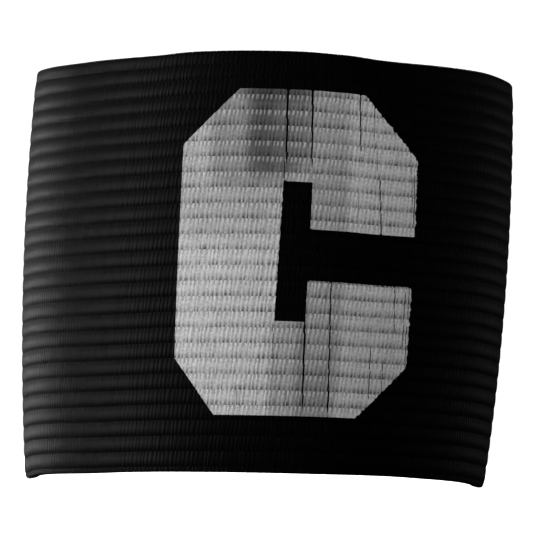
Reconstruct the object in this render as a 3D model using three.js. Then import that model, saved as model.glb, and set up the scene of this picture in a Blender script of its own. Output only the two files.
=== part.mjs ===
// Captain armband: a loop of black ribbed elastic tape with a printed block letter C on its front.
// Lengths are in millimetres. +Z is up, the letter faces -Y, and the loop stands on its lower rim.
import * as THREE from 'three';

// The tape: flat selvedges above and below a field of ribs that run round the loop.
const tapeWidth = 76.2;
const tapeThickness = 1.4; // over the rib crests
const ribPitch = 2.8;
const ribDepth = 0.4;
const grooveWidth = 1.1;
const topSelvedge = 1.85; // from the rim to the nearest groove
const bottomSelvedge = 0.45;
const edgeBevel = 0.3;

// The loop, measured over the rib crests at mid height, and how it departs from an upright tube.
const loopWidth = 91.8;
const loopDepth = 82.5;
const topTaper = 0.6; // the upper rim is this much nearer the axis than the middle
const bottomTaper = 2.4; // and the lower rim this much
const sideLean = 2.3; // sideways travel of the upper rim over the lower one
const topArch = 3.1; // rise of the upper rim at the front and the back
const bottomArch = 2.1; // rise of the lower rim there, which leaves the loop standing on its two sides

// The lapped seam at the back: the outer end lies over the inner end, sewn down flat.
const lapLength = 15;
const lapRamp = 6; // length over which the outer layer climbs onto the inner one
const cutSlant = 0.3; // run of a cut end

// The letter, in the plane of the unrolled tape: x along it from the front, y up from the lower rim.
const letterWidth = 45.6;
const letterHeight = 58.8;
const letterFoot = 10.4; // height of the letter's foot on the tape
const letterShift = 6.5; // the letter's centre lies this far to the right of the front
const stemWidth = 18.9;
const topStroke = 16.6;
const bottomStroke = 17;
// The cut corners of the letter: the run along the tape and the rise of each.
const headChamfers = { left: { run: 10, rise: 9.8 }, right: { run: 11.5, rise: 11.3 } };
const footChamfers = { left: { run: 7.9, rise: 10.2 }, right: { run: 10, rise: 9.8 } };
const counterWidth = 5.4;
const slotHeight = 9.3; // the opening from the counter out to the right
const slotDrop = 0.5; // its middle lies this far under the counter's
const filmThickness = 0.4;
const filmClearance = 0.3; // between the rib crests and the back of the print film

// Facets
const columnStep = 7.5; // degrees round the loop
const columnSpacing = 2.5; // degrees kept free beside the columns of the seam
const innerRows = 4;
const filmRowHeight = 6;

// How far each rim has risen, as a share of its arch, by azimuth from the front in degrees. The back
// mirrors the front.
const rimRise = [
  { azimuth: -90, top: 0.3, bottom: 0 },
  { azimuth: -82, top: 0.3, bottom: 0 },
  { azimuth: -75, top: 0.31, bottom: 0.2 },
  { azimuth: -67, top: 0.34, bottom: 0.38 },
  { azimuth: -60, top: 0.36, bottom: 0.48 },
  { azimuth: -45, top: 0.5, bottom: 0.62 },
  { azimuth: -30, top: 0.67, bottom: 0.84 },
  { azimuth: -15, top: 0.94, bottom: 0.96 },
  { azimuth: 0, top: 1, bottom: 1 },
  { azimuth: 15, top: 0.88, bottom: 0.98 },
  { azimuth: 30, top: 0.59, bottom: 0.93 },
  { azimuth: 45, top: 0.51, bottom: 0.75 },
  { azimuth: 60, top: 0.41, bottom: 0.52 },
  { azimuth: 67, top: 0.3, bottom: 0.37 },
  { azimuth: 75, top: 0.18, bottom: 0.18 },
  { azimuth: 82, top: 0.12, bottom: 0 },
  { azimuth: 90, top: 0.06, bottom: 0 },
];

// The lap, round the loop in radians: how far the outer and the inner wall stand out, in tape thicknesses.
const backRadius = loopWidth / 2;
const innerCut = Math.PI - lapLength / 2 / backRadius;
const outerCut = Math.PI + lapLength / 2 / backRadius;
const seam = [
  { angle: innerCut - lapRamp / backRadius, outer: 0, inner: 0 },
  { angle: innerCut - cutSlant / backRadius, outer: 1, inner: 1 },
  { angle: innerCut, outer: 1, inner: 0 },
  { angle: outerCut, outer: 1, inner: 0 },
  { angle: outerCut + cutSlant / backRadius, outer: 0, inner: 0 },
];

// Reads a column of a table by straight lines between its rows, with the end rows kept beyond them.
function readTable(table, key, column, at) {
  const next = table.findIndex((row) => row[key] >= at);
  if (next === 0) return table[0][column];
  if (next < 0) return table[table.length - 1][column];
  const low = table[next - 1];
  const high = table[next];
  return THREE.MathUtils.mapLinear(at, low[key], high[key], low[column], high[column]);
}

function rimLift(angle, share) {
  const azimuth = THREE.MathUtils.radToDeg(Math.asin(Math.sin(angle)));
  const bottom = bottomArch * readTable(rimRise, 'azimuth', 'bottom', azimuth);
  const top = topArch * readTable(rimRise, 'azimuth', 'top', azimuth);
  return THREE.MathUtils.lerp(bottom, top, share);
}

// A point beside the loop's outer face: its angle from the front, its height on the tape and its
// distance out from the rib crests.
function loopPoint(angle, height, outward) {
  const share = height / tapeWidth;
  const taper = bottomTaper * (1 - share) * (1 - 2 * share) + topTaper * share * (2 * share - 1);
  const halfWidth = loopWidth / 2 - taper;
  const halfDepth = loopDepth / 2 - taper * (loopDepth / loopWidth);
  const out = new THREE.Vector2(halfDepth * Math.sin(angle), -halfWidth * Math.cos(angle)).normalize();
  return new THREE.Vector3(
    halfWidth * Math.sin(angle) + outward * out.x + sideLean * (share - 0.5),
    -halfDepth * Math.cos(angle) + outward * out.y,
    height + rimLift(angle, share),
  );
}

// Angles of the loop's facet edges, from 0 up to a full turn, with the seam's own edges among them.
function columnAngles() {
  const gap = THREE.MathUtils.degToRad(columnSpacing);
  const even = Array.from(
    { length: Math.round(360 / columnStep) },
    (_, index) => THREE.MathUtils.degToRad(index * columnStep),
  );
  const clear = even.filter((angle) => seam.every((edge) => Math.abs(edge.angle - angle) > gap));
  return [...clear, ...seam.map((edge) => edge.angle)].sort((a, b) => a - b);
}
const columns = columnAngles();

// The outer face from the lower rim up: height on the tape and depth below the crests.
function ribProfile() {
  const ribField = tapeWidth - topSelvedge - bottomSelvedge - grooveWidth;
  const ribCount = Math.max(1, Math.round(ribField / ribPitch));
  const profile = [{ height: 0, depth: edgeBevel }, { height: edgeBevel, depth: 0 }];
  for (let groove = 0; groove <= ribCount; groove += 1) {
    const height = bottomSelvedge + ribField * (groove / ribCount);
    profile.push({ height, depth: 0 });
    profile.push({ height: height + grooveWidth / 2, depth: ribDepth });
    profile.push({ height: height + grooveWidth, depth: 0 });
  }
  profile.push({ height: tapeWidth - edgeBevel, depth: 0 }, { height: tapeWidth, depth: edgeBevel });
  return profile;
}

// A closed surface from triangles given as point numbers.
function closedGeometry(points, triangles) {
  const geometry = new THREE.BufferGeometry().setFromPoints(points);
  geometry.setIndex(triangles.flat());
  geometry.computeVertexNormals();
  return geometry;
}

// The tape's section at one angle: up the ribbed outer face and down the plain inner one.
function bandSection(angle, profile) {
  const outerShift = tapeThickness * readTable(seam, 'angle', 'outer', angle);
  const innerShift = tapeThickness * readTable(seam, 'angle', 'inner', angle);
  const outer = profile.map((row) => loopPoint(angle, row.height, outerShift - row.depth));
  const inner = Array.from(
    { length: innerRows + 1 },
    (_, row) => loopPoint(angle, tapeWidth * (1 - row / innerRows), innerShift - tapeThickness),
  );
  return [...outer, ...inner];
}

function bandGeometry() {
  const profile = ribProfile();
  const sections = columns.map((angle) => bandSection(angle, profile));
  const rows = sections[0].length;
  const triangles = [];
  sections.forEach((_, column) => {
    const next = (column + 1) % sections.length;
    for (let row = 0; row < rows; row += 1) {
      const above = (row + 1) % rows;
      const near = [column * rows + row, column * rows + above];
      const far = [next * rows + row, next * rows + above];
      triangles.push([near[0], far[0], far[1]], [near[0], far[1], near[1]]);
    }
  });
  return closedGeometry(sections.flat(), triangles);
}

// The loop's facet edges by arc length along the crests at mid height, from the front both ways.
function measureColumns() {
  const quarter = columns.filter((angle) => angle <= Math.PI / 2);
  let along = 0;
  const right = quarter.map((angle, index) => {
    const spot = loopPoint(angle, tapeWidth / 2, 0).setZ(0);
    const last = loopPoint(quarter[Math.max(index - 1, 0)], tapeWidth / 2, 0).setZ(0);
    along += spot.distanceTo(last);
    return { angle, along };
  });
  const left = right.slice(1).reverse().map((facet) => ({ angle: -facet.angle, along: -facet.along }));
  return [...left, ...right];
}
const facets = measureColumns();

// A point over the flat facets of the loop, parallel to them.
function facetPoint(along, height, outward) {
  const next = Math.min(Math.max(facets.findIndex((facet) => facet.along > along), 1), facets.length - 1);
  const low = facets[next - 1];
  const high = facets[next];
  const share = (along - low.along) / (high.along - low.along);
  return loopPoint(low.angle, height, outward).lerp(loopPoint(high.angle, height, outward), share);
}

const letter = {
  left: letterShift - letterWidth / 2,
  right: letterShift + letterWidth / 2,
  foot: letterFoot,
  head: letterFoot + letterHeight,
};
const counter = {
  left: letter.left + stemWidth,
  right: letter.left + stemWidth + counterWidth,
  foot: letter.foot + bottomStroke,
  head: letter.head - topStroke,
};
const slotMiddle = (counter.foot + counter.head) / 2 - slotDrop;
const slot = { foot: slotMiddle - slotHeight / 2, head: slotMiddle + slotHeight / 2 };

const ascending = (a, b) => a - b;

// The letter's facet edges along the tape: its own corners, and the loop's edges between its sides.
function letterColumns() {
  const corners = [letter.left, counter.left, counter.right, letter.right];
  [headChamfers, footChamfers].forEach(({ left, right }) => {
    corners.push(letter.left + left.run, letter.right - right.run);
  });
  const between = facets.map((facet) => facet.along).filter((along) => along > letter.left
    && along < letter.right && corners.every((corner) => Math.abs(corner - along) > filmThickness));
  return [...corners, ...between].sort(ascending);
}

// The letter's rows where no chamfer cuts them: its own corners, and even steps between them.
function letterRows() {
  const corners = [letter.foot, counter.foot, slot.foot, slot.head, counter.head, letter.head];
  return corners.sort(ascending).flatMap((corner, index) => {
    if (index === corners.length - 1) return [corner];
    const span = corners[index + 1] - corner;
    const steps = Math.max(1, Math.ceil(span / filmRowHeight));
    return Array.from({ length: steps }, (_, step) => corner + span * (step / steps));
  });
}

// How much a pair of chamfers takes off the letter's height at a place along the tape.
function chamferCut({ left, right }, along) {
  const leftCut = left.rise * (1 - (along - letter.left) / left.run);
  const rightCut = right.rise * (1 - (letter.right - along) / right.run);
  return Math.max(0, leftCut, rightCut);
}

// The height of a row at a place along the tape: the chamfers squeeze the rows towards the slot.
function rowHeight(row, along) {
  if (row < slot.foot) {
    const foot = letter.foot + chamferCut(footChamfers, along);
    return THREE.MathUtils.mapLinear(row, letter.foot, slot.foot, foot, slot.foot);
  }
  if (row > slot.head) {
    const head = letter.head - chamferCut(headChamfers, along);
    return THREE.MathUtils.mapLinear(row, slot.head, letter.head, slot.head, head);
  }
  return row;
}

// The print film: cells of the letter's plane, less those of its counter and slot, given a thickness.
function letterGeometry() {
  const places = letterColumns();
  const rows = letterRows();
  const faces = [filmClearance + filmThickness, filmClearance];
  const points = faces.flatMap((outward) => places.flatMap(
    (along) => rows.map((row) => facetPoint(along, rowHeight(row, along), outward))));
  const back = places.length * rows.length;

  const printed = (column, row) => {
    if (column < 0 || row < 0 || column >= places.length - 1 || row >= rows.length - 1) return false;
    const along = (places[column] + places[column + 1]) / 2;
    const height = (rows[row] + rows[row + 1]) / 2;
    const inCounter = along > counter.left && along < counter.right
      && height > counter.foot && height < counter.head;
    const inSlot = along > counter.right && height > slot.foot && height < slot.head;
    return !inCounter && !inSlot;
  };

  const triangles = [];
  const quad = (a, b, c, d) => triangles.push([a, b, c], [a, c, d]);
  for (let column = 0; column < places.length - 1; column += 1) {
    for (let row = 0; row < rows.length - 1; row += 1) {
      if (!printed(column, row)) continue;
      const corner = (across, up) => (column + across) * rows.length + row + up;
      const ring = [corner(0, 0), corner(1, 0), corner(1, 1), corner(0, 1)];
      quad(...ring);
      quad(...ring.map((point) => point + back).reverse());
      const beside = [[0, -1], [1, 0], [0, 1], [-1, 0]];
      beside.forEach(([across, up], side) => {
        if (printed(column + across, row + up)) return;
        const [from, to] = [ring[side], ring[(side + 1) % ring.length]];
        quad(from, from + back, to + back, to);
      });
    }
  }
  return usedPoints(points, triangles);
}

// Leaves out the points that no triangle uses, such as those inside the counter.
function usedPoints(points, triangles) {
  const used = [...new Set(triangles.flat())].sort((a, b) => a - b);
  const renumber = new Map(used.map((point, index) => [point, index]));
  return closedGeometry(
    used.map((point) => points[point]),
    triangles.map((triangle) => triangle.map((point) => renumber.get(point))),
  );
}

const blackElastic = new THREE.MeshStandardMaterial({ color: 0x17181a, roughness: 0.92, metalness: 0 });
const whitePrint = new THREE.MeshStandardMaterial({ color: 0xc9cac8, roughness: 0.62, metalness: 0 });

const elasticBand = new THREE.Mesh(bandGeometry(), blackElastic);
elasticBand.name = 'elastic_band';

const captainLetter = new THREE.Mesh(letterGeometry(), whitePrint);
captainLetter.name = 'captain_letter';

// The origin is under the middle of the armband, on the surface that it stands on.
const armband = new THREE.Group();
armband.add(elasticBand, captainLetter);
const box = new THREE.Box3().setFromObject(armband);
const middle = box.getCenter(new THREE.Vector3());
armband.position.set(-middle.x, -middle.y, -box.min.z);

const part = new THREE.Group();
part.add(armband);
export default part;
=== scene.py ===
# %% [markdown]
# # A captain's armband in ribbed elastic
# The real thing is one strip of black elastic tape, about 76 mm wide. It is woven flat, a block letter
# is screen-printed on it while it is flat, and its two ends are then lapped and sewn to a loop.
# This script works in the same order. Every piece is first modelled flat, as x along the tape, y
# towards the arm and z up the tape's width, and one Geometry Nodes tree then wraps it round the arm.
# That way the print, the ribs and the stitches stay in step, because they are bent by the same rule.

# %% Load the fixed frame
import math

import bpy
from mathutils import Matrix, Vector, noise


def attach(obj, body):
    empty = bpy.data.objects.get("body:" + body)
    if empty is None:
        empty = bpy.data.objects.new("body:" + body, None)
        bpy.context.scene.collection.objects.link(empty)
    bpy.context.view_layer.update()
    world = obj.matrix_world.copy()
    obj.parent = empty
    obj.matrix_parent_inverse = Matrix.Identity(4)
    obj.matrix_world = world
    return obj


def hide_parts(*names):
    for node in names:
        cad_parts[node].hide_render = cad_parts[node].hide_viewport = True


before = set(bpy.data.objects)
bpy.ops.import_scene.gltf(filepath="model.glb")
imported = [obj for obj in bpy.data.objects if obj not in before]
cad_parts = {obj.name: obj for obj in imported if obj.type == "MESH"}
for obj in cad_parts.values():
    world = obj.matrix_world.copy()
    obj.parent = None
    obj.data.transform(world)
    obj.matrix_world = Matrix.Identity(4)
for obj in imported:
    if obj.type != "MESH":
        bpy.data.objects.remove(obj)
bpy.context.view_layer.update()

# %% [markdown]
# ## The driving sizes
# A weaver would give the tape by its width, thickness and rib pitch, and the loop by its width and
# depth over the ribs. They are in millimetres here and are turned to metres once, because Blender
# works in metres. The loop isn't a true tube: it bulges in the middle, leans, and its rims rise at
# the front and the back, as elastic does on an arm, so that it stands on its two sides.

# %% Sizes of the tape, the loop and the letter
MM = 0.001
TAPE_WIDTH = 76.2 * MM
TAPE_THICKNESS = 1.4 * MM
RIB_PITCH = 2.8 * MM
RIB_RELIEF = 0.11 * MM
RIB_SKEW = 0.8  # under 1 it sets a rib's crest a little below its middle
GROOVE_WANDER = 0.25 * MM
FIRST_GROOVE = 1.0 * MM
RIB_COUNT = 26
YARN_PITCH = 0.84 * MM

LOOP_WIDTH = 91.8 * MM
LOOP_DEPTH = 82.5 * MM
TOP_TAPER = 0.6 * MM
BOTTOM_TAPER = 2.4 * MM
SIDE_LEAN = 2.3 * MM
TOP_ARCH = 3.1 * MM
BOTTOM_ARCH = 2.1 * MM
LOOP_CENTRE = (-0.345 * MM, -0.351 * MM)

LAP_LENGTH = 15 * MM
LAP_RAMP = 6 * MM
LAP_CLEARANCE = 0.05 * MM
LAP_STEP = TAPE_THICKNESS + LAP_CLEARANCE

half_width, half_depth = LOOP_WIDTH / 2, LOOP_DEPTH / 2
flatness = ((half_width - half_depth) / (half_width + half_depth)) ** 2
loop_length = math.pi * (half_width + half_depth) * (1 + flatness / 4)
tape_length = loop_length + LAP_LENGTH
print(f"loop {loop_length / MM:.1f} mm round, tape cut to {tape_length / MM:.1f} mm")

# %% [markdown]
# ## The camera
# The photo was taken with a long lens from about a metre away, a little below the armband's foot.
# The armband stands on a floor here, so the camera sits just above that floor, and the small arch of
# the rims makes up for the rest. The lens is given for a 36 mm sensor. The slight roll is the tilt
# that the photo has.

# %% Camera
CAMERA_DISTANCE = 1.010
CAMERA_HEIGHT = 7.5 * MM
CAMERA_ACROSS = -0.3 * MM
CAMERA_AIM = (0.62 * MM, LOOP_CENTRE[1], 40.46 * MM)
CAMERA_ROLL = math.radians(1.17)
CAMERA_LENS = 354.7
CAMERA_SENSOR = 36

camera_data = bpy.data.cameras.new("camera")
camera_data.lens = CAMERA_LENS
camera_data.sensor_width = CAMERA_SENSOR
camera_data.clip_start, camera_data.clip_end = 0.05, 10
camera = bpy.data.objects.new("camera", camera_data)
camera.location = (CAMERA_ACROSS, LOOP_CENTRE[1] - CAMERA_DISTANCE, CAMERA_HEIGHT)
looking = (Vector(CAMERA_AIM) - camera.location).to_track_quat("-Z", "Y")
rolled = looking.to_matrix().to_4x4() @ Matrix.Rotation(CAMERA_ROLL, 4, "Z")
camera.matrix_world = Matrix.Translation(camera.location) @ rolled
bpy.context.scene.collection.objects.link(camera)
bpy.context.scene.camera = camera
print("camera at", [round(value, 4) for value in camera.location])

# %% [markdown]
# ## Small helpers
# A node tree is a list of nodes and the links between them. One function adds a node, sets its
# properties and fills its inputs, with numbers or with other nodes. Most of the nodes here do sums, so
# a second function adds a Math node. A third one turns the colours, which are written as sRGB hex, to
# the linear values that the renderer works in.

# %% Helpers for nodes and colours
def add(tree, kind, inputs=None, **settings):
    """Adds a node. inputs maps an input's name or number to a value, a node or a socket."""
    node = tree.nodes.new(kind)
    for name, value in settings.items():
        setattr(node, name, value)
    for key, source in (inputs or {}).items():
        if isinstance(source, bpy.types.Node):
            source = source.outputs[0]
        if isinstance(source, bpy.types.NodeSocket):
            tree.links.new(source, node.inputs[key])
        else:
            node.inputs[key].default_value = source
    return node


def calc(tree, operation, *values):
    """Adds a Math node. Each value is a number, a node or a socket."""
    return add(tree, "ShaderNodeMath", dict(enumerate(values)), operation=operation)


def linear(hex_colour):
    """Turns #rrggbb in sRGB to a linear colour with alpha 1."""
    parts = [int(hex_colour[start:start + 2], 16) / 255 for start in (1, 3, 5)]
    light = [part / 12.92 if part <= 0.04045 else ((part + 0.055) / 1.055) ** 2.4 for part in parts]
    return light + [1.0]


def clamp(value, low=0.0, high=1.0):
    return max(low, min(high, value))


print("a screen's middle grey is", round(linear("#808080")[0], 3), "in linear light")

# %% [markdown]
# ## Ribs by rule
# The weaver's ribs run along the tape, one every 2.8 mm. Each is a round back between two sharp
# grooves, so its height falls with the square of the distance from its crest, and the crest lies a
# little below the rib's middle. A Geometry Nodes tree is right for this, because the same rule then
# shapes the tape, the ink and anything else that lies on it. Each point carries `rib_share`, which
# says how much of the relief it takes: 1 on the outer face, less on what only lies over the ribs. A
# slow noise lets the grooves wander a little, as woven ones do. The tree also stores the flat place of
# each point, and the materials read their patterns from it.

# %% Geometry Nodes: raise the ribs
WANDER_SWELLS = (45.0, 0.0, 110.0)  # swells of the noise per metre, along the tape and up it


def new_tree(name, sizes):
    """Makes a Geometry Nodes tree with a geometry in and out, and a named input for each size."""
    tree = bpy.data.node_groups.new(name, "GeometryNodeTree")
    tree.interface.new_socket("Geometry", in_out="INPUT", socket_type="NodeSocketGeometry")
    tree.interface.new_socket("Geometry", in_out="OUTPUT", socket_type="NodeSocketGeometry")
    for label, kind in sizes.items():
        tree.interface.new_socket(label, in_out="INPUT", socket_type=f"NodeSocket{kind}")
    return tree, tree.nodes.new("NodeGroupInput"), tree.nodes.new("NodeGroupOutput")


def make_rib_tree():
    sizes = dict.fromkeys(("Rib Pitch", "First Groove", "Rib Relief", "Groove Wander"), "Float")
    tree, given, result = new_tree("raise the ribs", sizes)
    sized = given.outputs
    place = add(tree, "GeometryNodeInputPosition")
    kept = add(tree, "GeometryNodeStoreNamedAttribute", {
        "Geometry": sized["Geometry"], "Name": "flat_place", "Value": place,
    }, data_type="FLOAT_VECTOR", domain="POINT")
    height = add(tree, "ShaderNodeSeparateXYZ", {0: place}).outputs["Z"]

    above = calc(tree, "SUBTRACT", height, sized["First Groove"])
    ribs_up = calc(tree, "DIVIDE", above, sized["Rib Pitch"])
    phase = calc(tree, "FRACT", ribs_up)
    skewed = calc(tree, "POWER", phase, RIB_SKEW)
    swing = calc(tree, "MULTIPLY_ADD", skewed, 2.0, -1.0)
    from_crest = calc(tree, "ABSOLUTE", swing)
    groove = calc(tree, "POWER", from_crest, 2.0)

    drop = calc(tree, "MULTIPLY", groove, sized["Rib Relief"])
    share = add(tree, "GeometryNodeInputNamedAttribute", {"Name": "rib_share"}, data_type="FLOAT")
    inward = calc(tree, "MULTIPLY", drop, share)

    slow = add(tree, "ShaderNodeVectorMath", {0: place, 1: WANDER_SWELLS}, operation="MULTIPLY")
    swell = add(tree, "ShaderNodeTexNoise", {
        "Vector": slow, "Scale": 1.0, "Detail": 1.0,
    }, noise_dimensions="3D")
    centred = calc(tree, "SUBTRACT", swell.outputs[0], 0.5)
    wander = calc(tree, "MULTIPLY", centred, sized["Groove Wander"])
    held = calc(tree, "ABSOLUTE", share)
    drift = calc(tree, "MULTIPLY", wander, held)

    move = add(tree, "ShaderNodeCombineXYZ", {"Y": inward, "Z": drift})
    moved = add(tree, "GeometryNodeSetPosition", {"Geometry": kept, "Offset": move})
    tree.links.new(moved.outputs[0], result.inputs["Geometry"])
    return tree


RIB_TREE = make_rib_tree()
print("rib tree has", len(RIB_TREE.nodes), "nodes")

# %% [markdown]
# ## Wrapping a flat piece round the arm
# The second tree takes the flat tape and bends it. Seen from above the loop is an ellipse a little
# wider than deep. The place along the tape gives the angle round it, the height gives how far the
# wall bulges and leans, and the two arches lift the rims in front and at the back. Where the
# right-hand end comes round to the back, it climbs by one thickness and lies over the left-hand end,
# as a lapped seam does. The arches are a short table of shares by azimuth, read by a Float Curve.

# %% Geometry Nodes: wrap round the arm
RIM_RISE = [
    {"azimuth": -90, "top": 0.30, "bottom": 0.00},
    {"azimuth": -82, "top": 0.30, "bottom": 0.00},
    {"azimuth": -75, "top": 0.31, "bottom": 0.20},
    {"azimuth": -67, "top": 0.34, "bottom": 0.38},
    {"azimuth": -60, "top": 0.36, "bottom": 0.48},
    {"azimuth": -45, "top": 0.50, "bottom": 0.62},
    {"azimuth": -30, "top": 0.67, "bottom": 0.84},
    {"azimuth": -15, "top": 0.94, "bottom": 0.96},
    {"azimuth": 0, "top": 1.00, "bottom": 1.00},
    {"azimuth": 15, "top": 0.88, "bottom": 0.98},
    {"azimuth": 30, "top": 0.59, "bottom": 0.93},
    {"azimuth": 45, "top": 0.51, "bottom": 0.75},
    {"azimuth": 60, "top": 0.41, "bottom": 0.52},
    {"azimuth": 67, "top": 0.30, "bottom": 0.37},
    {"azimuth": 75, "top": 0.18, "bottom": 0.18},
    {"azimuth": 82, "top": 0.12, "bottom": 0.00},
    {"azimuth": 90, "top": 0.06, "bottom": 0.00},
]


def add_rise(tree, azimuth_share, column):
    """Adds a curve node that reads one column of the table of rim rises."""
    node = add(tree, "ShaderNodeFloatCurve", {"Value": azimuth_share})
    curve = node.mapping.curves[0]
    for point, row in zip(curve.points, (RIM_RISE[0], RIM_RISE[-1])):
        point.location = ((row["azimuth"] + 90) / 180, row[column])
    for row in RIM_RISE[1:-1]:
        curve.points.new((row["azimuth"] + 90) / 180, row[column])
    for point in curve.points:
        point.handle_type = "AUTO_CLAMPED"
    node.mapping.update()
    return node


def make_wrap_tree():
    lengths = (
        "Tape Width", "Half Width", "Half Depth", "Mean Radius", "Top Taper", "Bottom Taper",
        "Side Lean", "Top Arch", "Bottom Arch", "Lap Step", "Ramp Start", "Ramp End",
    )
    tree, given, result = new_tree("wrap round the arm", {
        **dict.fromkeys(lengths, "Float"), "Centre": "Vector", "Material": "Material",
    })
    sized = given.outputs
    axes = add(tree, "ShaderNodeSeparateXYZ", {0: add(tree, "GeometryNodeInputPosition")})
    along, inward, height = axes.outputs["X"], axes.outputs["Y"], axes.outputs["Z"]

    # Equal steps along the tape aren't equal angles on an ellipse: a small sine evens them out.
    turn = calc(tree, "DIVIDE", along, sized["Mean Radius"])
    twice = calc(tree, "MULTIPLY", turn, 2.0)
    swing = calc(tree, "SINE", twice)
    wider = calc(tree, "SUBTRACT", sized["Half Width"], sized["Half Depth"])
    four = calc(tree, "MULTIPLY", sized["Mean Radius"], -4.0)
    even = calc(tree, "DIVIDE", wider, four)
    angle = calc(tree, "MULTIPLY_ADD", swing, even, turn)
    sine = calc(tree, "SINE", angle)
    cosine = calc(tree, "COSINE", angle)

    share = calc(tree, "DIVIDE", height, sized["Tape Width"])
    rest = calc(tree, "SUBTRACT", 1.0, share)
    off_middle = calc(tree, "SUBTRACT", share, rest)
    top = calc(tree, "MULTIPLY", share, sized["Top Taper"])
    foot = calc(tree, "MULTIPLY", rest, sized["Bottom Taper"])
    pull = calc(tree, "SUBTRACT", top, foot)
    taper = calc(tree, "MULTIPLY", off_middle, pull)
    slim = calc(tree, "DIVIDE", sized["Half Depth"], sized["Half Width"])
    taper_deep = calc(tree, "MULTIPLY", taper, slim)
    wide = calc(tree, "SUBTRACT", sized["Half Width"], taper)
    deep = calc(tree, "SUBTRACT", sized["Half Depth"], taper_deep)

    lap = add(tree, "ShaderNodeMapRange", {
        "Value": along, "From Min": sized["Ramp Start"], "From Max": sized["Ramp End"],
        "To Max": sized["Lap Step"],
    }, interpolation_type="SMOOTHSTEP")
    outward = calc(tree, "SUBTRACT", lap, inward)
    across = calc(tree, "MULTIPLY", sine, sized["Half Depth"])
    ahead = calc(tree, "MULTIPLY", cosine, sized["Half Width"])
    facing = add(tree, "ShaderNodeCombineXYZ", {"X": across, "Y": calc(tree, "MULTIPLY", ahead, -1.0)})
    unit = add(tree, "ShaderNodeVectorMath", {0: facing}, operation="NORMALIZE")
    stand_off = add(tree, "ShaderNodeVectorMath", {0: unit, "Scale": outward}, operation="SCALE")

    lean = calc(tree, "MULTIPLY", off_middle, sized["Side Lean"])
    half_lean = calc(tree, "MULTIPLY", lean, 0.5)
    x = calc(tree, "MULTIPLY_ADD", wide, sine, half_lean)
    y = calc(tree, "MULTIPLY", calc(tree, "MULTIPLY", deep, cosine), -1.0)
    # The back mirrors the front, so the arches are read by the angle's sine.
    azimuth = calc(tree, "ARCSINE", sine)
    azimuth_share = add(tree, "ShaderNodeMapRange", {
        "Value": azimuth, "From Min": -math.pi / 2, "From Max": math.pi / 2,
    })
    top_lift = calc(tree, "MULTIPLY", add_rise(tree, azimuth_share, "top"), sized["Top Arch"])
    foot_lift = calc(tree, "MULTIPLY", add_rise(tree, azimuth_share, "bottom"), sized["Bottom Arch"])
    lifted = calc(tree, "MULTIPLY_ADD", foot_lift, rest, height)
    z = calc(tree, "MULTIPLY_ADD", top_lift, share, lifted)

    wall = add(tree, "ShaderNodeCombineXYZ", {"X": x, "Y": y, "Z": z})
    placed = add(tree, "ShaderNodeVectorMath", {0: wall, 1: stand_off}, operation="ADD")
    centred = add(tree, "ShaderNodeVectorMath", {0: placed, 1: sized["Centre"]}, operation="ADD")
    bent = add(tree, "GeometryNodeSetPosition", {"Geometry": sized["Geometry"], "Position": centred})
    real = add(tree, "GeometryNodeRealizeInstances", {"Geometry": bent})
    coloured = add(tree, "GeometryNodeSetMaterial", {"Geometry": real, "Material": sized["Material"]})
    tree.links.new(coloured.outputs[0], result.inputs["Geometry"])
    return tree


WRAP_TREE = make_wrap_tree()
print("wrap tree has", len(WRAP_TREE.nodes), "nodes")

# %% [markdown]
# A modifier keeps its inputs under identifiers such as `Socket_2`, so the names are looked up in the
# tree's interface. Every input is set before the object is first evaluated. The result is read back
# as a plain mesh with `new_from_object`, and the modifiers go, so that the mesh is real.

# %% Apply the trees to a flat piece
CREASE_ANGLE = 22  # degrees: a sharper fold than this is shown as an edge

WRAP_SIZES = {
    "Tape Width": TAPE_WIDTH,
    "Half Width": half_width,
    "Half Depth": half_depth,
    "Mean Radius": loop_length / math.tau,
    "Top Taper": TOP_TAPER,
    "Bottom Taper": BOTTOM_TAPER,
    "Side Lean": SIDE_LEAN,
    "Top Arch": TOP_ARCH,
    "Bottom Arch": BOTTOM_ARCH,
    "Lap Step": LAP_STEP,
    "Ramp Start": loop_length / 2 - LAP_LENGTH / 2 - LAP_RAMP,
    "Ramp End": loop_length / 2 - LAP_LENGTH / 2,
    "Centre": (LOOP_CENTRE[0], LOOP_CENTRE[1], 0.0),
}
RIB_SIZES = {
    "Rib Pitch": RIB_PITCH,
    "First Groove": FIRST_GROOVE,
    "Rib Relief": RIB_RELIEF,
    "Groove Wander": GROOVE_WANDER,
}


def add_modifier(piece, tree, values):
    """Adds a Geometry Nodes modifier and sets its inputs by the identifiers of their sockets."""
    modifier = piece.modifiers.new(tree.name, "NODES")
    modifier.node_group = tree
    for item in tree.interface.items_tree:
        if item.in_out == "INPUT" and item.name in values:
            modifier[item.identifier] = values[item.name]
    return modifier


def make_plain(piece):
    """Replaces a piece's mesh by what its modifiers make of it, and drops them. Creases stay sharp."""
    piece.update_tag()
    graph = bpy.context.evaluated_depsgraph_get()
    mesh = bpy.data.meshes.new_from_object(
        piece.evaluated_get(graph), preserve_all_data_layers=True, depsgraph=graph,
    )
    piece.modifiers.clear()
    piece.data = mesh
    mesh.name = piece.name
    mesh.shade_smooth()
    mesh.set_sharp_from_angle(angle=math.radians(CREASE_ANGLE))
    return piece


def new_piece(name, points, faces, rib_shares):
    """Makes an object from flat points, with how much of the rib relief each point takes."""
    mesh = bpy.data.meshes.new(name)
    mesh.from_pydata(points, [], faces)
    mesh.attributes.new("rib_share", "FLOAT", "POINT").data.foreach_set("value", rib_shares)
    piece = bpy.data.objects.new(name, mesh)
    bpy.context.scene.collection.objects.link(piece)
    return piece


def tell_size(piece):
    sides = [round(side / MM, 1) for side in piece.dimensions]
    print(f"{piece.name}: {len(piece.data.polygons)} faces, {sides} mm")


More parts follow.
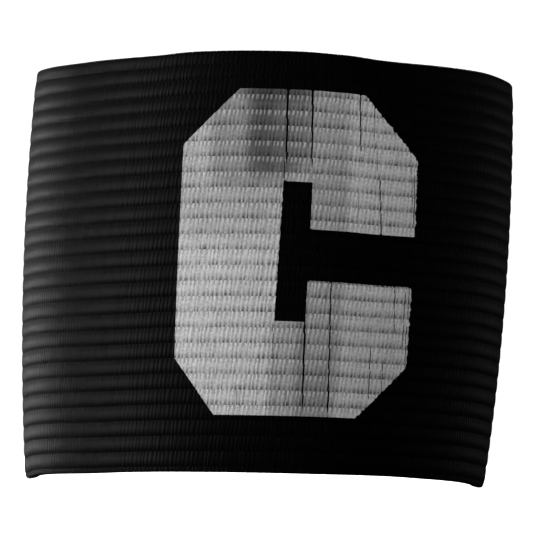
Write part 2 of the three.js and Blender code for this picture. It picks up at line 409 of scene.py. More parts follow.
for name, value in WRAP_SIZES.items():
    if name != "Centre":
        print(f"{name}: {value / MM:.1f} mm")

# %% [markdown]
# ## Finishes
# Woven elastic is rubber cores covered with black polyester yarn. Along each rib the yarns stand side
# by side every 0.84 mm, leaning a little, which gives the eye short upright ticks. The yarn is nearly
# black and has a broad, weak gloss, so what the eye sees of the ribs is mostly reflected light.
# The letter is plastisol ink, screen-printed on the same yarns: a matt off-white skin. Its colour is
# painted darker between the yarns, as painted shade, and darkest near the grooves.
# Both finishes use the same pattern, worked out from each point's flat place on the tape.

# %% Shared pattern of the yarns
YARN_SLANT = 0.4  # yarns that one yarn leans over, from a rib's foot to its head
RIB_STRIDE = 7.3  # how far apart neighbouring ribs read the noise, so that no two are alike
STRAY_SCALE = 0.45  # swells of that noise per yarn
STRAY = 1.6  # yarns that the noise moves a yarn by


def add_yarns(tree):
    """Adds the yarns' pattern from the flat place, and returns the sockets that the finishes need."""
    flat = add(tree, "ShaderNodeAttribute", attribute_name="flat_place", attribute_type="GEOMETRY")
    place = flat.outputs["Vector"]
    axes = add(tree, "ShaderNodeSeparateXYZ", {0: place})
    above = calc(tree, "SUBTRACT", axes.outputs["Z"], FIRST_GROOVE)
    ribs_up = calc(tree, "DIVIDE", above, RIB_PITCH)
    up_rib = calc(tree, "FRACT", ribs_up)
    rib = calc(tree, "FLOOR", ribs_up)
    skewed = calc(tree, "POWER", up_rib, RIB_SKEW)
    swing = calc(tree, "MULTIPLY_ADD", skewed, 2.0, -1.0)
    from_crest = calc(tree, "ABSOLUTE", swing)

    # The yarns of each rib stand a little off those of the next, and bunch here and there.
    across = calc(tree, "MULTIPLY", axes.outputs["X"], 1 / YARN_PITCH)
    spot = add(tree, "ShaderNodeCombineXYZ", {"X": across, "Z": calc(tree, "MULTIPLY", rib, RIB_STRIDE)})
    stray = add(tree, "ShaderNodeTexNoise", {"Vector": spot, "Scale": STRAY_SCALE, "Detail": 2.0})
    strayed = calc(tree, "MULTIPLY_ADD", stray.outputs[0], STRAY, across)
    leaning = calc(tree, "MULTIPLY_ADD", up_rib, -YARN_SLANT, strayed)
    turns = calc(tree, "MULTIPLY", leaning, math.tau)
    wave = calc(tree, "COSINE", turns)
    crest = calc(tree, "MULTIPLY_ADD", wave, 0.5, 0.5)
    gap = calc(tree, "MULTIPLY_ADD", wave, -0.5, 0.5)
    number = calc(tree, "ROUND", leaning)
    tally = add(tree, "ShaderNodeCombineXYZ", {"X": number, "Y": rib})
    chance = add(tree, "ShaderNodeTexWhiteNoise", {"Vector": tally}, noise_dimensions="3D")
    return {
        "place": place, "up_rib": up_rib, "from_crest": from_crest,
        "crest": crest, "gap": gap, "luck": chance.outputs["Value"],
    }


def add_relief(tree, yarn, depth, grain, rib_rounding):
    """Adds a bump for each yarn's round back, deeper towards the grooves, with a fine grain on it.

    The depth of the yarns and the rounding that is added to each rib's back are in metres.
    """
    lower = calc(tree, "POWER", yarn["from_crest"], 2.0)
    reach = calc(tree, "MULTIPLY_ADD", lower, 0.55, 0.45)
    uneven = calc(tree, "MULTIPLY_ADD", yarn["luck"], 1.2, 0.4)
    reach = calc(tree, "MULTIPLY", reach, uneven)
    sunk = calc(tree, "MULTIPLY", yarn["gap"], reach)
    raised = calc(tree, "MULTIPLY_ADD", grain, 0.35, 1.0)
    height = calc(tree, "SUBTRACT", raised, sunk)
    height = calc(tree, "MULTIPLY_ADD", lower, -rib_rounding / depth, height)
    bump = add(tree, "ShaderNodeBump", {"Height": height, "Strength": 1.0, "Distance": depth})
    return bump.outputs["Normal"]


def new_material(name):
    """Makes a node material with nothing but a Principled shader and an output."""
    material = bpy.data.materials.new(name)
    material.use_nodes = True
    material.node_tree.nodes.clear()
    tree = material.node_tree
    shader = add(tree, "ShaderNodeBsdfPrincipled")
    add(tree, "ShaderNodeOutputMaterial", {"Surface": shader.outputs["BSDF"]})
    return material, tree, shader


print("yarns per 10 mm:", round(10 * MM / YARN_PITCH, 1))

# %% Black woven elastic
LINT_PER_METRE = 1500.0
BLACK_YARN_DEPTH = 0.055 * MM
BLACK_RIB_ROUNDING = 0.12 * MM
BLACK_GLOSS = 0.085  # far under a polished face's 0.5, since light is lost between the yarns


def make_black_elastic():
    """Black polyester yarn woven over rubber: the crests of the ribs are glossier than the grooves."""
    material, tree, shader = new_material("black_polyester_elastic_woven")
    yarn = add_yarns(tree)
    lint = add(tree, "ShaderNodeTexNoise", {
        "Vector": yarn["place"], "Scale": LINT_PER_METRE, "Detail": 3.0,
    }).outputs[0]
    uneven = calc(tree, "MULTIPLY_ADD", yarn["luck"], 0.6, 0.4)
    # The gaps between the yarns are painted darker than the yarns' backs, as painted shade; each yarn's
    # tone also differs at random.
    lit_yarn = calc(tree, "MULTIPLY", yarn["crest"], uneven)
    colour = add(tree, "ShaderNodeMix", {
        "Factor": lit_yarn, "A": linear("#020202"), "B": linear("#070707"),
    }, data_type="RGBA")
    roughness = add(tree, "ShaderNodeMapRange", {
        "Value": yarn["from_crest"], "From Min": 0.3, "From Max": 1.0, "To Min": 0.53, "To Max": 0.62,
    })
    tree.links.new(colour.outputs["Result"], shader.inputs["Base Color"])
    tree.links.new(roughness.outputs["Result"], shader.inputs["Roughness"])
    normal = add_relief(tree, yarn, BLACK_YARN_DEPTH, lint, BLACK_RIB_ROUNDING)
    tree.links.new(normal, shader.inputs["Normal"])
    shader.inputs["Specular IOR Level"].default_value = BLACK_GLOSS
    return material


BLACK_ELASTIC = make_black_elastic()
print("made", BLACK_ELASTIC.name)

# %% [markdown]
# The print isn't one even tone. The gaps between its yarns are painted darker, as painted shade. Along
# each rib's upper edge that shade is deeper and leaves a row of bright ticks on the yarns' backs, and
# along its lower edge it makes small dark spots between the yarns. The print is also darker at the
# letter's head, to the left of the splits and between them, and the ticks are dimmed only half as much
# there. These darker places are a list of soft-edged patches.

# %% White screen print
LETTER_LEFT = -16.3 * MM
LETTER_FOOT = 10.4 * MM
LETTER_WIDTH = 45.6 * MM
LETTER_HEIGHT = 58.8 * MM

GRAINS_PER_METRE = 2200.0
CLOUDS_PER_METRE = 260.0
PRINT_YARN_DEPTH = 0.08 * MM
PRINT_RIB_ROUNDING = 0.04 * MM
PATCH_EDGE = (0.25, 1.4)  # where a patch begins to fade and where it ends, by its half size to the 4th

# Darker patches in mm: the middle, from the letter's left edge and foot, half the size, and the loss of
# brightness.
DIMMED_PATCHES = [
    {"x": 17.8, "z": 51.9, "half_width": 6.2, "half_height": 9.8, "loss": 0.68},
    {"x": 16.8, "z": 59.3, "half_width": 7.4, "half_height": 3.0, "loss": 0.45},
    {"x": 8.5, "z": 47.0, "half_width": 12.0, "half_height": 16.0, "loss": 0.27},
    {"x": 11.0, "z": 51.5, "half_width": 6.0, "half_height": 11.0, "loss": 0.34},
    {"x": 27.0, "z": 29.0, "half_width": 4.4, "half_height": 40.0, "loss": 0.36},
    {"x": 21.5, "z": 7.0, "half_width": 3.6, "half_height": 12.0, "loss": 0.32},
    {"x": 26.8, "z": 3.0, "half_width": 2.7, "half_height": 6.5, "loss": 0.20},
]


def make_white_print():
    """White plastisol ink, screen-printed: a matt skin, with painted shade between the yarns."""
    material, tree, shader = new_material("white_plastisol_ink_screen_printed")
    yarn = add_yarns(tree)
    grain = add(tree, "ShaderNodeTexNoise", {
        "Vector": yarn["place"], "Scale": GRAINS_PER_METRE, "Detail": 2.0,
    }).outputs[0]
    cloud = add(tree, "ShaderNodeTexNoise", {
        "Vector": yarn["place"], "Scale": CLOUDS_PER_METRE, "Detail": 2.0,
    }).outputs[0]

    # Down a rib, the painted shade that leaves the ticks fades over its upper third, and the dark spots
    # of painted shade come in over its lower one.
    ticked = add(tree, "ShaderNodeMapRange", {
        "Value": yarn["up_rib"], "From Min": 0.6, "From Max": 0.78, "To Max": 1.0,
    }, interpolation_type="SMOOTHSTEP")
    low = add(tree, "ShaderNodeMapRange", {
        "Value": yarn["up_rib"], "From Min": 0.0, "From Max": 0.4, "To Min": 1.0, "To Max": 0.0,
    })
    # Painted shade between the yarns: deeper under the row of ticks, and in dark spots at the rib's
    # lower edge.
    streak = calc(tree, "MULTIPLY_ADD", ticked, 0.24, 0.16)
    faint = calc(tree, "MULTIPLY", yarn["gap"], streak)
    unlucky = calc(tree, "MULTIPLY", yarn["luck"], 0.85)
    spotted = calc(tree, "MULTIPLY", low, unlucky)
    spot = calc(tree, "MULTIPLY", spotted, yarn["gap"])
    painted_gap_shade = calc(tree, "ADD", faint, spot)
    rough_ink = calc(tree, "MULTIPLY_ADD", grain, -1.1, 1.5)
    clouded = calc(tree, "MULTIPLY_ADD", cloud, 0.4, 0.76)
    held = calc(tree, "SUBTRACT", 1.0, painted_gap_shade)
    ink = calc(tree, "MULTIPLY", held, rough_ink)
    ink = calc(tree, "MULTIPLY", ink, clouded)

    # Each patch darkens the print by its loss of brightness, and the ticks only half as much.
    kept_tick = calc(tree, "MULTIPLY", ticked, yarn["crest"])
    patch_share = calc(tree, "MULTIPLY_ADD", kept_tick, -0.5, 1.0)
    for patch in DIMMED_PATCHES:
        middle = (LETTER_LEFT + patch["x"] * MM, 0.0, LETTER_FOOT + patch["z"] * MM)
        span = (1 / (patch["half_width"] * MM), 0.0, 1 / (patch["half_height"] * MM))
        away = add(tree, "ShaderNodeVectorMath", {0: yarn["place"], 1: middle}, operation="SUBTRACT")
        shares = add(tree, "ShaderNodeVectorMath", {0: away, 1: span}, operation="MULTIPLY")
        squares = add(tree, "ShaderNodeVectorMath", {0: shares, 1: shares}, operation="MULTIPLY")
        fourth = add(tree, "ShaderNodeVectorMath", {0: squares, 1: squares}, operation="DOT_PRODUCT")
        corner_wear_and_patch_dimming = add(tree, "ShaderNodeMapRange", {
            "Value": fourth.outputs["Value"], "From Min": PATCH_EDGE[0], "From Max": PATCH_EDGE[1],
            "To Min": patch["loss"], "To Max": 0.0,
        })
        lost = calc(tree, "MULTIPLY", corner_wear_and_patch_dimming, patch_share)
        kept = calc(tree, "SUBTRACT", 1.0, lost)
        ink = calc(tree, "MULTIPLY", ink, kept)
    colour = add(tree, "ShaderNodeMix", {
        "Factor": ink, "A": linear("#141414"), "B": linear("#f2f2f2"),
    }, data_type="RGBA")
    tree.links.new(colour.outputs["Result"], shader.inputs["Base Color"])
    normal = add_relief(tree, yarn, PRINT_YARN_DEPTH, grain, PRINT_RIB_ROUNDING)
    tree.links.new(normal, shader.inputs["Normal"])
    shader.inputs["Roughness"].default_value = 0.65
    shader.inputs["Specular IOR Level"].default_value = 0.25
    return material


WHITE_PRINT = make_white_print()
print("made", WHITE_PRINT.name)

# %% [markdown]
# ## The tape
# The flat tape is a closed section swept along its length. The section is listed as rows: up the
# outer face with eight rows to a rib, over the rounded selvedge, down the inner face and round the
# other selvedge. The ribs themselves come from the tree, so the rows only say where a point sits and
# how much relief it takes.

# %% Weave the flat tape
COLUMNS = 300
ROWS_PER_RIB = 8
INNER_ROWS_PER_RIB = 3
RIM_STEPS = 6
SELVEDGE_DEPTH = 0.15 * MM
SELVEDGE_ROWS = (0.3, 0.6)  # as shares of the way from the last groove to the rounded edge
INNER_SHARE = -0.3
rim_radius = (TAPE_THICKNESS - 2 * SELVEDGE_DEPTH) / 2
last_groove = FIRST_GROOVE + RIB_COUNT * RIB_PITCH


def rim_rows(height, sign):
    """The half round of a selvedge, from the outer face to the inner one, as rows of a section."""
    rows = []
    for step in range(RIM_STEPS + 1):
        turn = math.pi * step / RIM_STEPS
        reach = sign * rim_radius * math.sin(turn)
        inward = SELVEDGE_DEPTH + rim_radius * (1 - math.cos(turn))
        rows.append((height + reach, inward, 0.0))
    return rows


def section_rows():
    """Rows of the tape's section: height, distance in from the rib crests, and share of relief."""
    fine, coarse = RIB_COUNT * ROWS_PER_RIB, RIB_COUNT * INNER_ROWS_PER_RIB
    outer = [(FIRST_GROOVE + RIB_PITCH * row / ROWS_PER_RIB, 0.0, 1.0) for row in range(fine + 1)]
    top_edge = TAPE_WIDTH - rim_radius
    flat_part = top_edge - last_groove
    selvedge = [(last_groove + flat_part * share, SELVEDGE_DEPTH, 0.0) for share in SELVEDGE_ROWS]
    inner = [
        (last_groove - RIB_PITCH * row / INNER_ROWS_PER_RIB, TAPE_THICKNESS, INNER_SHARE)
        for row in range(coarse + 1)
    ]
    foot = list(reversed(rim_rows(rim_radius, -1)))
    return outer + selvedge + rim_rows(top_edge, 1) + inner + foot


def weave_tape():
    rows = section_rows()
    points, shares = [], []
    for column in range(COLUMNS + 1):
        along = tape_length * (column / COLUMNS - 0.5)
        points += [(along, inward, height) for height, inward, _ in rows]
        shares += [share for _, _, share in rows]
    count = len(rows)
    faces = [tuple(range(count))[::-1], tuple(COLUMNS * count + row for row in range(count))]
    for column in range(COLUMNS):
        near, far = column * count, (column + 1) * count
        for row in range(count):
            above = (row + 1) % count
            faces.append((near + row, far + row, far + above, near + above))
    return new_piece("ribbed_tape", points, faces, shares)


tape = weave_tape()
add_modifier(tape, RIB_TREE, RIB_SIZES)
add_modifier(tape, WRAP_TREE, {**WRAP_SIZES, "Material": BLACK_ELASTIC})
make_plain(tape)
tell_size(tape)

# %% [markdown]
# ## The printed letter
# The print is made flat too, on a grid of small cells, five to a yarn and eight to a rib. A function
# says how deep inside the ink each corner of the grid lies, and negative depths are bare tape. Each
# cell is then cut along the line where that depth is zero, so slanting and straight edges both come
# out clean. On the left the edge is crisp. Towards the right the screen lifted, and the ink ends a
# little differently on every rib. Where the elastic has been stretched, the ink has split along the
# yarns. The splits are charted from the photo.

# %% Where the ink is
CELLS_PER_YARN = 5
CELL_WIDTH = YARN_PITCH / CELLS_PER_YARN
CELL_HEIGHT = RIB_PITCH / ROWS_PER_RIB

STEM_WIDTH = 18.9 * MM
TOP_STROKE = 16.6 * MM
BOTTOM_STROKE = 17.0 * MM
COUNTER_WIDTH = 5.4 * MM
SLOT_HEIGHT = 9.3 * MM
SLOT_DROP = 0.5 * MM

# How far the ink's edge wanders, and how much narrower the stem is at its foot.
RAGGED_LEFT = 0.16 * MM
RAGGED_RIGHT = 0.7 * MM
RAGGED_STEM = 0.4 * MM
STEM_NARROWING = 0.4 * MM
LIFTED_FOOT = 0.1 * MM
LIFTED_HEAD = 0.4 * MM  # what the lifted screen takes off the right edge at the head, over the foot
SPLIT_TIP = 1 / 12  # share of a split's length over which it closes to a point
FAR_FROM_SPLITS = 1.0  # metres, which is deeper than any place in the letter

# The cut corners, in mm: which edges they join, the run along the tape, the rise, and the wear there.
CHAMFERS = [
    {"side": "left", "end": "head", "run": 10.0, "rise": 9.8, "corner_wear_and_patch_dimming": 0.2},
    {"side": "left", "end": "foot", "run": 7.9, "rise": 10.2, "corner_wear_and_patch_dimming": 0.1},
    {"side": "right", "end": "head", "run": 11.5, "rise": 11.3, "corner_wear_and_patch_dimming": 0.6},
    {"side": "right", "end": "foot", "run": 10.0, "rise": 9.8, "corner_wear_and_patch_dimming": 0.6},
]

# Splits in the ink, in mm: x from the letter's left edge at the upper and lower end, the heights of
# those ends above its foot, and how wide the split gapes at each.
SPLITS = [
    {"top_x": 18.9, "foot_x": 19.3, "top": 59.5, "foot": 45.0, "top_gape": 0.42, "foot_gape": 0.34},
    {"top_x": 19.0, "foot_x": 19.1, "top": 46.0, "foot": 41.0, "top_gape": 0.16, "foot_gape": 0.22},
    {"top_x": 23.5, "foot_x": 24.0, "top": 59.5, "foot": 44.5, "top_gape": 0.44, "foot_gape": 0.26},
    {"top_x": 32.5, "foot_x": 33.1, "top": 59.0, "foot": 48.0, "top_gape": 0.30, "foot_gape": 0.20},
    {"top_x": 33.2, "foot_x": 33.3, "top": 48.0, "foot": 45.5, "top_gape": 0.12, "foot_gape": 0.05},
    {"top_x": 35.4, "foot_x": 35.8, "top": 57.5, "foot": 48.5, "top_gape": 0.12, "foot_gape": 0.10},
    {"top_x": 36.3, "foot_x": 36.5, "top": 49.0, "foot": 45.0, "top_gape": 0.13, "foot_gape": 0.10},
    {"top_x": 37.0, "foot_x": 38.0, "top": 44.5, "foot": 32.0, "top_gape": 0.22, "foot_gape": 0.24},
    {"top_x": 43.2, "foot_x": 44.2, "top": 49.5, "foot": 38.5, "top_gape": 0.10, "foot_gape": 0.14},
    {"top_x": 33.0, "foot_x": 33.2, "top": 41.0, "foot": 34.5, "top_gape": 0.10, "foot_gape": 0.08},
    {"top_x": 24.2, "foot_x": 24.7, "top": 17.5, "foot": 1.0, "top_gape": 0.42, "foot_gape": 0.30},
    {"top_x": 28.6, "foot_x": 29.7, "top": 25.5, "foot": -0.5, "top_gape": 0.26, "foot_gape": 0.36},
    {"top_x": 41.3, "foot_x": 41.9, "top": 24.5, "foot": 15.5, "top_gape": 0.20, "foot_gape": 0.16},
    {"top_x": 37.2, "foot_x": 37.6, "top": 13.8, "foot": 3.2, "top_gape": 0.18, "foot_gape": 0.20},
    {"top_x": 40.0, "foot_x": 40.2, "top": 11.0, "foot": 4.0, "top_gape": 0.16, "foot_gape": 0.14},
    {"top_x": 21.5, "foot_x": 21.7, "top": 4.6, "foot": 0.5, "top_gape": 0.12, "foot_gape": 0.10},
    {"top_x": 18.3, "foot_x": 18.6, "top": 17.0, "foot": 10.5, "top_gape": 0.12, "foot_gape": 0.08},
    {"top_x": 12.2, "foot_x": 12.4, "top": 4.6, "foot": 0.5, "top_gape": 0.10, "foot_gape": 0.10},
    {"top_x": 44.4, "foot_x": 44.8, "top": 18.0, "foot": 10.0, "top_gape": 0.16, "foot_gape": 0.20},
    {"top_x": 43.6, "foot_x": 43.9, "top": 24.0, "foot": 12.5, "top_gape": 0.18, "foot_gape": 0.16},
    {"top_x": 44.5, "foot_x": 44.6, "top": 24.5, "foot": 19.0, "top_gape": 0.20, "foot_gape": 0.18},
    {"top_x": 44.3, "foot_x": 44.6, "top": 45.5, "foot": 36.0, "top_gape": 0.18, "foot_gape": 0.20},
]


def roughly(x, z, seed):
    """A fixed smooth noise from 0 to 1 that changes over about half a yarn and a quarter rib."""
    spot = Vector((x / (0.6 * YARN_PITCH), z / (0.25 * RIB_PITCH), seed))
    return 0.5 + 0.5 * noise.noise(spot)


def depth_in_outline(x, z):
    """How far a place lies inside the letter's outline, with the edge ragged where the print is."""
    lifted = LIFTED_FOOT + LIFTED_HEAD * clamp(z / LETTER_HEIGHT)
    left = x - RAGGED_LEFT * roughly(x, z, 1)
    right = LETTER_WIDTH - x - lifted - RAGGED_RIGHT * roughly(x, z, 2)
    outline = min(left, right, z, LETTER_HEIGHT - z)
    for corner in CHAMFERS:
        run, rise = corner["run"] * MM, corner["rise"] * MM
        across = (x if corner["side"] == "left" else LETTER_WIDTH - x) / run
        upright = (z if corner["end"] == "foot" else LETTER_HEIGHT - z) / rise
        within = (across + upright - 1) * run * rise / math.hypot(run, rise)
        outline = min(outline, within - corner["corner_wear_and_patch_dimming"] * MM * roughly(x, z, 3))
    foot, head = BOTTOM_STROKE, LETTER_HEIGHT - TOP_STROKE
    stem_edge = STEM_WIDTH - STEM_NARROWING * clamp((head - z) / (head - foot))
    ragged_stem = stem_edge - RAGGED_STEM * (roughly(x, z, 4) - 0.5)
    counter = max(ragged_stem - x, x - STEM_WIDTH - COUNTER_WIDTH, foot - z, z - head)
    slot_middle = (foot + head) / 2 - SLOT_DROP
    slot = max(STEM_WIDTH + COUNTER_WIDTH / 2 - x, abs(z - slot_middle) - SLOT_HEIGHT / 2)
    return min(outline, counter, slot)


def clear_of_splits(x, z):
    """How far a place lies clear of the nearest split. A split keeps to a line of the grid."""
    clear = FAR_FROM_SPLITS
    for split in SPLITS:
        top, foot = split["top"] * MM, split["foot"] * MM
        if foot < z < top:
            share = (z - foot) / (top - foot)
            middle = (split["foot_x"] + (split["top_x"] - split["foot_x"]) * share) * MM
            middle = CELL_WIDTH * round(middle / CELL_WIDTH)
            gape = (split["foot_gape"] + (split["top_gape"] - split["foot_gape"]) * share) * MM
            gape *= min(1.0, share / SPLIT_TIP, (1 - share) / SPLIT_TIP)
            clear = min(clear, abs(x - middle) - gape / 2)
    return clear


print(len(SPLITS), "splits charted")

# %% Cut the film along the ink's edge
FILM_LIFT = 0.05 * MM
FILM_THICKNESS = 0.06 * MM
CUT_MARGIN = 0.1  # a cut keeps this share of a cell's side off its corners, so no sliver is made


def cut_cells(depths, columns, rows):
    """Cuts the grid's cells where depth is zero. Returns points in steps of the grid, and faces."""
    numbers, points, faces = {}, [], []

    def number(key, spot):
        if key not in numbers:
            numbers[key] = len(points)
            points.append(spot)
        return numbers[key]

    for column in range(columns):
        for row in range(rows):
            ring = [(column, row), (column + 1, row), (column + 1, row + 1), (column, row + 1)]
            face = []
            for here, there in zip(ring, ring[1:] + ring[:1]):
                inside, beyond = depths[here], depths[there]
                if inside > 0:
                    face.append(number(here, here))
                if (inside > 0) != (beyond > 0):
                    low, high = min(here, there), max(here, there)
                    share = depths[low] / (depths[low] - depths[high])
                    share = clamp(share, CUT_MARGIN, 1 - CUT_MARGIN)
                    spot = (low[0] + (high[0] - low[0]) * share, low[1] + (high[1] - low[1]) * share)
                    face.append(number((low, high), spot))
            if len(face) > 2:
                faces.append(face)
    return points, faces


def print_letter():
    first = math.floor((LETTER_FOOT - FIRST_GROOVE) / CELL_HEIGHT) - 1
    columns = math.ceil(LETTER_WIDTH / CELL_WIDTH) + 2
    rows = math.ceil(LETTER_HEIGHT / CELL_HEIGHT) + 3
    depths = {}
    for column in range(columns + 1):
        for row in range(rows + 1):
            x = (column - 1) * CELL_WIDTH
            z = FIRST_GROOVE + (first + row) * CELL_HEIGHT - LETTER_FOOT
            depths[column, row] = min(depth_in_outline(x, z), clear_of_splits(x, z))
    spots, faces = cut_cells(depths, columns, rows)
    points = [
        (LETTER_LEFT + (column - 1) * CELL_WIDTH, -FILM_LIFT, FIRST_GROOVE + (first + row) * CELL_HEIGHT)
        for column, row in spots
    ]
    return new_piece("printed_letter", points, faces, [1.0] * len(points))


letter = print_letter()
add_modifier(letter, RIB_TREE, RIB_SIZES)
add_modifier(letter, WRAP_TREE, {**WRAP_SIZES, "Material": WHITE_PRINT})
skin = letter.modifiers.new("ink thickness", "SOLIDIFY")
skin.thickness = FILM_THICKNESS
skin.offset = 1.0
make_plain(letter)
tell_size(letter)

# %% [markdown]
# ## The seam
# The lapped ends are held by two rows of lockstitch in black thread, one near each cut end. A row is
# a line of points with one small stitch instanced on each, so a Geometry Nodes tree makes all of it
# from a stitch length and a thread thickness. The rows show on the outer layer and, one thickness
# further in, on the inner layer.

# %% Geometry Nodes: rows of stitches
STITCH_LENGTH = 3.0 * MM
STITCH_GAP = 0.7 * MM
THREAD_THICKNESS = 0.45 * MM
SEAM_MARGIN = 2.5 * MM
ROW_FOOT = 2.4 * MM
STITCH_ARCH = 1.1  # rise of a stitch's middle, in thread thicknesses
THREAD_SIDES = 8
STITCH_SHARE = 0.4  # how much of the rib relief a stitch follows
OUTER_SINK = 0.08 * MM  # how far the stitches' ends are sunk in the outer face
INNER_STAND_OFF = 0.05 * MM  # and how far the inner rows' ends stand off the inner face


def make_stitch_tree():
    sizes = dict.fromkeys(("Stitch Length", "Stitch Gap", "Thread", "Row Height"), "Float")
    tree, given, result = new_tree("rows of stitches", sizes)
    sized = given.outputs
    thread_run = calc(tree, "SUBTRACT", sized["Stitch Length"], sized["Stitch Gap"])
    half_run = calc(tree, "MULTIPLY", thread_run, 0.5)
    low = calc(tree, "MULTIPLY", half_run, -1.0)
    arch = calc(tree, "MULTIPLY", sized["Thread"], -STITCH_ARCH)
    path = add(tree, "GeometryNodeCurveQuadraticBezier", {
        "Resolution": THREAD_SIDES,
        "Start": add(tree, "ShaderNodeCombineXYZ", {"Z": low}),
        "Middle": add(tree, "ShaderNodeCombineXYZ", {"Y": arch}),
        "End": add(tree, "ShaderNodeCombineXYZ", {"Z": half_run}),
    })
    radius = calc(tree, "MULTIPLY", sized["Thread"], 0.5)
    ring = add(tree, "GeometryNodeCurvePrimitiveCircle", {"Resolution": THREAD_SIDES, "Radius": radius})
    stitch = add(tree, "GeometryNodeCurveToMesh", {
        "Curve": path, "Profile Curve": ring, "Fill Caps": True,
    })

    count = calc(tree, "DIVIDE", sized["Row Height"], sized["Stitch Length"])
    step = add(tree, "ShaderNodeCombineXYZ", {"Z": sized["Stitch Length"]})
    line = add(tree, "GeometryNodeMeshLine", {"Count": count, "Offset": step}, mode="OFFSET")
    at_ends = add(tree, "GeometryNodeInstanceOnPoints", {"Points": sized["Geometry"], "Instance": line})
    spots = add(tree, "GeometryNodeRealizeInstances", {"Geometry": at_ends})
    sewn = add(tree, "GeometryNodeInstanceOnPoints", {"Points": spots, "Instance": stitch.outputs[0]})
    real = add(tree, "GeometryNodeRealizeInstances", {"Geometry": sewn})
    share = add(tree, "GeometryNodeStoreNamedAttribute", {
        "Geometry": real, "Name": "rib_share", "Value": STITCH_SHARE,
    }, data_type="FLOAT", domain="POINT")
    tree.links.new(share.outputs[0], result.inputs["Geometry"])
    return tree


STITCH_TREE = make_stitch_tree()
print("stitch tree has", len(STITCH_TREE.nodes), "nodes")

# %% Sew the seam
TWISTS_PER_METRE = 700.0


def make_thread():
    """Black spun polyester sewing thread: a fine twist, a little brighter than the tape."""
    material, tree, shader = new_material("black_polyester_thread_twisted")
    place = add(tree, "ShaderNodeTexCoord").outputs["Object"]
    twist = add(tree, "ShaderNodeTexWave", {
        "Vector": place, "Scale": TWISTS_PER_METRE, "Distortion": 0.5,
    }, bands_direction="DIAGONAL")
    bump = add(tree, "ShaderNodeBump", {
        "Height": twist.outputs["Fac"], "Strength": 0.6, "Distance": 0.05 * MM,
    })
    tree.links.new(bump.outputs["Normal"], shader.inputs["Normal"])
    # The twist's ridges are painted lighter than the grooves between its plies, as painted shade in the
    # grooves.
    colour = add(tree, "ShaderNodeMix", {
        "Factor": twist.outputs["Fac"], "A": linear("#0a0a0b"), "B": linear("#2a2b2d"),
    }, data_type="RGBA")
    tree.links.new(colour.outputs["Result"], shader.inputs["Base Color"])
    shader.inputs["Roughness"].default_value = 0.55
    return material


SEWING_THREAD = make_thread()


def sew_seam():
    outer_x = [tape_length / 2 - SEAM_MARGIN, tape_length / 2 - LAP_LENGTH + SEAM_MARGIN]
    low = ROW_FOOT + STITCH_LENGTH / 2
    starts = [(x, OUTER_SINK, low) for x in outer_x]
    starts += [(x - loop_length, TAPE_THICKNESS + INNER_STAND_OFF, low) for x in outer_x]
    seam = new_piece("seam_stitches", starts, [], [0.0] * len(starts))
    add_modifier(seam, STITCH_TREE, {
        "Stitch Length": STITCH_LENGTH, "Stitch Gap": STITCH_GAP, "Thread": THREAD_THICKNESS,
        "Row Height": TAPE_WIDTH - 2 * ROW_FOOT,
    })
    add_modifier(seam, WRAP_TREE, {**WRAP_SIZES, "Material": SEWING_THREAD})
    return make_plain(seam)


seam = sew_seam()
tell_size(seam)

# %% [markdown]
# ## What each piece stands for
# The tape and the letter take the place of their plain solids, and everything rides on the one body.

# %% Tie the pieces to the frame
for piece, slot in ((tape, "black_elastic"), (letter, "white_print"), (seam, "black_elastic")):
    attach(piece, "root")
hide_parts("elastic_band")
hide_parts("captain_letter")
print("pieces ride on root")

# %% [markdown]
# ## Floor and light
# The armband stands in a round white studio: a floor that turns up into a wall all about it, so that
# no horizon shows from any side. Black cloth goes grey when a white room lights it, so the room is
# told not to send its own light on to the armband, which photographers do with black flags. A level
# soft light from the left is the key. Polyester yarn is a little glossy, so this light shows the ribs
# of the left flank by its broad reflection, and it fades across the letter. A fill from high in
# front, which is polarised and so leaves no gloss on the black cloth, lights the rest of the print.
# Weak lights from behind draw the two edges. The lights beside the armband are wide, low ellipses,
# because the floor would hide the lower half of a round one.

# %% The round white studio
STUDIO_RADIUS = 2.6
STUDIO_BEND = 0.8
STUDIO_HEIGHT = 3.0
STUDIO_STEPS = 12
STUDIO_SIDES = 64
FLOOR_MIDDLE = 0.25


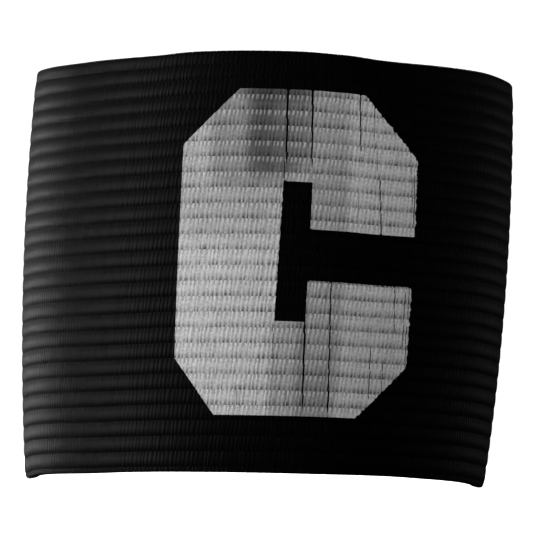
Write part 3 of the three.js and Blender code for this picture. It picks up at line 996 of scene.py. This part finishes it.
def make_studio():
    profile = [(FLOOR_MIDDLE, 0.0), (STUDIO_RADIUS - STUDIO_BEND, 0.0)]
    for step in range(1, STUDIO_STEPS + 1):
        turn = math.pi / 2 * step / STUDIO_STEPS
        out = STUDIO_RADIUS - STUDIO_BEND * (1 - math.sin(turn))
        profile.append((out, STUDIO_BEND * (1 - math.cos(turn))))
    profile.append((STUDIO_RADIUS, STUDIO_HEIGHT))
    points = [(0.0, 0.0, 0.0)]
    for radius, height in profile:
        for side in range(STUDIO_SIDES):
            turn = math.tau * side / STUDIO_SIDES
            points.append((radius * math.cos(turn), radius * math.sin(turn), height))
    faces = [(0, 1 + side, 1 + (side + 1) % STUDIO_SIDES) for side in range(STUDIO_SIDES)]
    for ring in range(len(profile) - 1):
        for side in range(STUDIO_SIDES):
            beside = (side + 1) % STUDIO_SIDES
            low, high = 1 + ring * STUDIO_SIDES, 1 + (ring + 1) * STUDIO_SIDES
            faces.append((low + side, high + side, high + beside, low + beside))
    mesh = bpy.data.meshes.new("white_studio")
    mesh.from_pydata(points, [], faces)
    mesh.shade_smooth()
    studio = bpy.data.objects.new("white_studio", mesh)
    bpy.context.scene.collection.objects.link(studio)
    material, tree, shader = new_material("white_painted_studio_floor")
    shader.inputs["Base Color"].default_value = linear("#f6f6f6")
    shader.inputs["Roughness"].default_value = 1.0
    shader.inputs["Specular IOR Level"].default_value = 0.0
    shader.inputs["Emission Color"].default_value = (1, 1, 1, 1)
    shader.inputs["Emission Strength"].default_value = 1.0
    mesh.materials.append(material)
    studio.visible_diffuse = False
    studio.visible_glossy = False
    return studio


make_studio()
print("studio", 2 * STUDIO_RADIUS, "m across")

# %% Lights
LIGHT_DISTANCE = 1.3

# Azimuth from the front and elevation in degrees, size in metres.
LIGHTS = [
    {"name": "left_key", "azimuth": -67, "elevation": 4, "wide": 0.5, "tall": 0.3, "watts": 12.2},
    {"name": "front_fill", "azimuth": 35, "elevation": 55, "wide": 0.4, "tall": 0.4, "watts": 9.0},
    {"name": "left_rim", "azimuth": -130, "elevation": 1, "wide": 0.7, "tall": 0.1, "watts": 4.2},
    {"name": "right_rim", "azimuth": 130, "elevation": 1, "wide": 0.5, "tall": 0.1, "watts": 0.25},
    {"name": "right_side", "azimuth": 95, "elevation": 1, "wide": 0.5, "tall": 0.1, "watts": 0.3},
    {"name": "from_behind", "azimuth": 180, "elevation": 35, "wide": 0.5, "tall": 0.5, "watts": 22.0},
]
POLARISED = ("front_fill",)
for row in LIGHTS:
    data = bpy.data.lights.new(row["name"], "AREA")
    data.shape = "ELLIPSE"
    data.size, data.size_y = row["wide"], row["tall"]
    data.energy = row["watts"]
    light = bpy.data.objects.new(row["name"], data)
    light.visible_glossy = row["name"] not in POLARISED
    azimuth, elevation = math.radians(row["azimuth"]), math.radians(row["elevation"])
    level = math.cos(elevation)
    away = Vector((math.sin(azimuth) * level, -math.cos(azimuth) * level, math.sin(elevation)))
    light.location = Vector((0, 0, TAPE_WIDTH / 2)) + away * LIGHT_DISTANCE
    light.rotation_mode = "QUATERNION"
    light.rotation_quaternion = (-away).to_track_quat("-Z", "Y")
    bpy.context.scene.collection.objects.link(light)

world = bpy.data.worlds.new("studio_air")
world.use_nodes = True
air = world.node_tree.nodes["Background"]
air.inputs["Color"].default_value = linear("#808080")
air.inputs["Strength"].default_value = 0.06
bpy.context.scene.world = world
bpy.context.scene.view_settings.view_transform = "Standard"
print("lights:", [row["name"] for row in LIGHTS])
